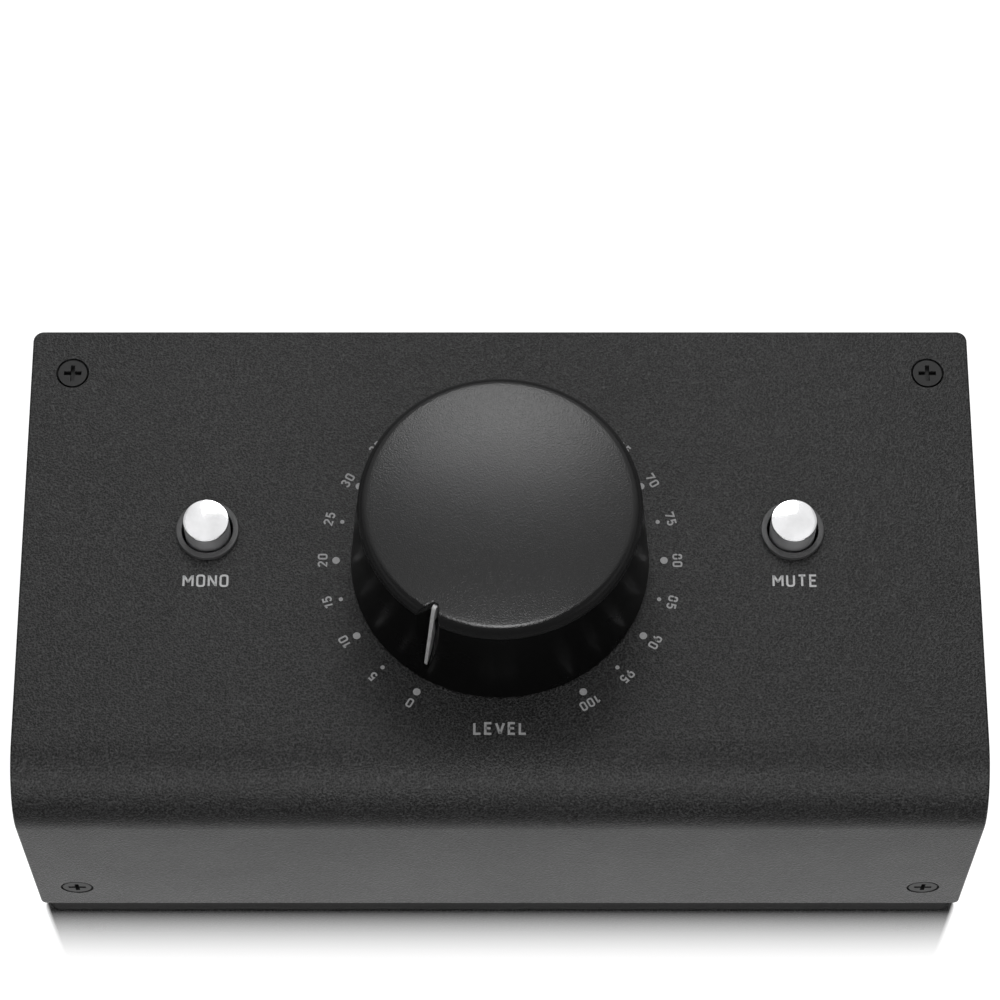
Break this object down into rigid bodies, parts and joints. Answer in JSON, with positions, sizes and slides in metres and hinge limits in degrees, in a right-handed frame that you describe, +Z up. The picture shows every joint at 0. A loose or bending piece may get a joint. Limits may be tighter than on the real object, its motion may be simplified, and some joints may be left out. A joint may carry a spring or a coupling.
{
  "type": "studio monitor controller",
  "caption": "Desktop passive monitor controller: bent metal cover, large level knob with dial, mono and mute push buttons, XLR and jack sockets at the back.",
  "frame": {"origin": "centre of the footprint, on the surface that the part stands on", "axes": "+Z up, -Y is the front face below the bend, +X to the right seen from the front"},
  "size_m": [0.134, 0.0739, 0.0627],
  "materials": {
    "powder_coat": "fine-grained charcoal powder coat",
    "tray_coat": "fine-grained charcoal powder coat",
    "pad_rubber": "smooth matt black rubber",
    "screw_black": "black zinc on steel",
    "plated_steel": "zinc plated",
    "knob_gloss": "glossy black",
    "knob_matt": "finely grained matt black",
    "pointer_grey": "light grey moulded",
    "brass_sleeve": "turned",
    "cast_zinc": "as cast, stands in for zinc",
    "wafer_brown": "phenolic sheet",
    "nylon_white": "natural nylon",
    "contact_metal": "tin plated",
    "spring_steel": "bright spring wire",
    "polished_cap": "polished",
    "bezel_satin": "satin dark grey",
    "switch_black": "moulded black",
    "connector_black": "moulded black",
    "board_green": "solder mask over glass-filled board",
    "ribbon_grey": "soft grey vinyl",
    "resistor_blue": "lacquered metal film resistor"
  },
  "bodies": {
    "casing": {"top_cover": "powder_coat", "base_chassis": "tray_coat", "base_pad": "pad_rubber", "cover_screws_top": "screw_black", "cover_screws_front": "screw_black", "cover_clinch_nuts": "plated_steel", "pot_bushing": "cast_zinc", "pot_washer": "plated_steel", "pot_nut": "plated_steel", "pot_housing": "switch_black", "pot_rear_cover": "plated_steel", "pot_track_wafers": "wafer_brown", "pot_terminals": "contact_metal", "connector_screws": "screw_black", "control_board": "board_green", "control_board_standoffs": "brass_sleeve", "control_board_screws": "plated_steel", "main_board": "board_green", "main_board_standoffs": "brass_sleeve", "main_board_screws": "plated_steel", "ribbon_header_control": "switch_black", "ribbon_header_main": "switch_black", "ribbon_cable": "ribbon_grey", "mixing_resistors": "resistor_blue", "mono_bezel": "bezel_satin", "mono_switch_body": "switch_black", "mono_return_spring": "spring_steel", "mono_terminals": "contact_metal", "mute_bezel": "bezel_satin", "mute_switch_body": "switch_black", "mute_return_spring": "spring_steel", "mute_terminals": "contact_metal", "input_left_housing": "connector_black", "input_left_contacts": "contact_metal", "input_right_housing": "connector_black", "input_right_contacts": "contact_metal", "output_left_shell": "connector_black", "output_left_insert": "connector_black", "output_left_pins": "contact_metal", "output_right_shell": "connector_black", "output_right_insert": "connector_black", "output_right_pins": "contact_metal"},
    "level_knob": {"knob_body": "knob_gloss", "knob_cap": "knob_matt", "knob_pointer": "pointer_grey", "knob_insert": "brass_sleeve", "pot_shaft": "plated_steel", "pot_rotor_lower": "nylon_white", "pot_rotor_upper": "nylon_white", "pot_wipers": "contact_metal"},
    "mono_button": {"mono_button_cap": "polished_cap", "mono_plunger": "nylon_white", "mono_contact_slider": "contact_metal"},
    "mute_button": {"mute_button_cap": "polished_cap", "mute_plunger": "nylon_white", "mute_contact_slider": "contact_metal"}
  },
  "joints": [
    {"name": "level_turn", "type": "hinge", "parent": "casing", "child": "level_knob", "pos_m": [0, 0.0002, 0.043], "axis": [0, 0, -1], "range_deg": [0, 300]},
    {"name": "mono_press", "type": "slide", "parent": "casing", "child": "mono_button", "axis": [0, 0, -1], "range_m": [0, 0.0025], "stiffness_N_per_m": 250, "springref_m": -0.003, "deforming": ["mono_return_spring"]},
    {"name": "mute_press", "type": "slide", "parent": "casing", "child": "mute_button", "axis": [0, 0, -1], "range_m": [0, 0.0025], "stiffness_N_per_m": 250, "springref_m": -0.003, "deforming": ["mute_return_spring"]}
  ]
}
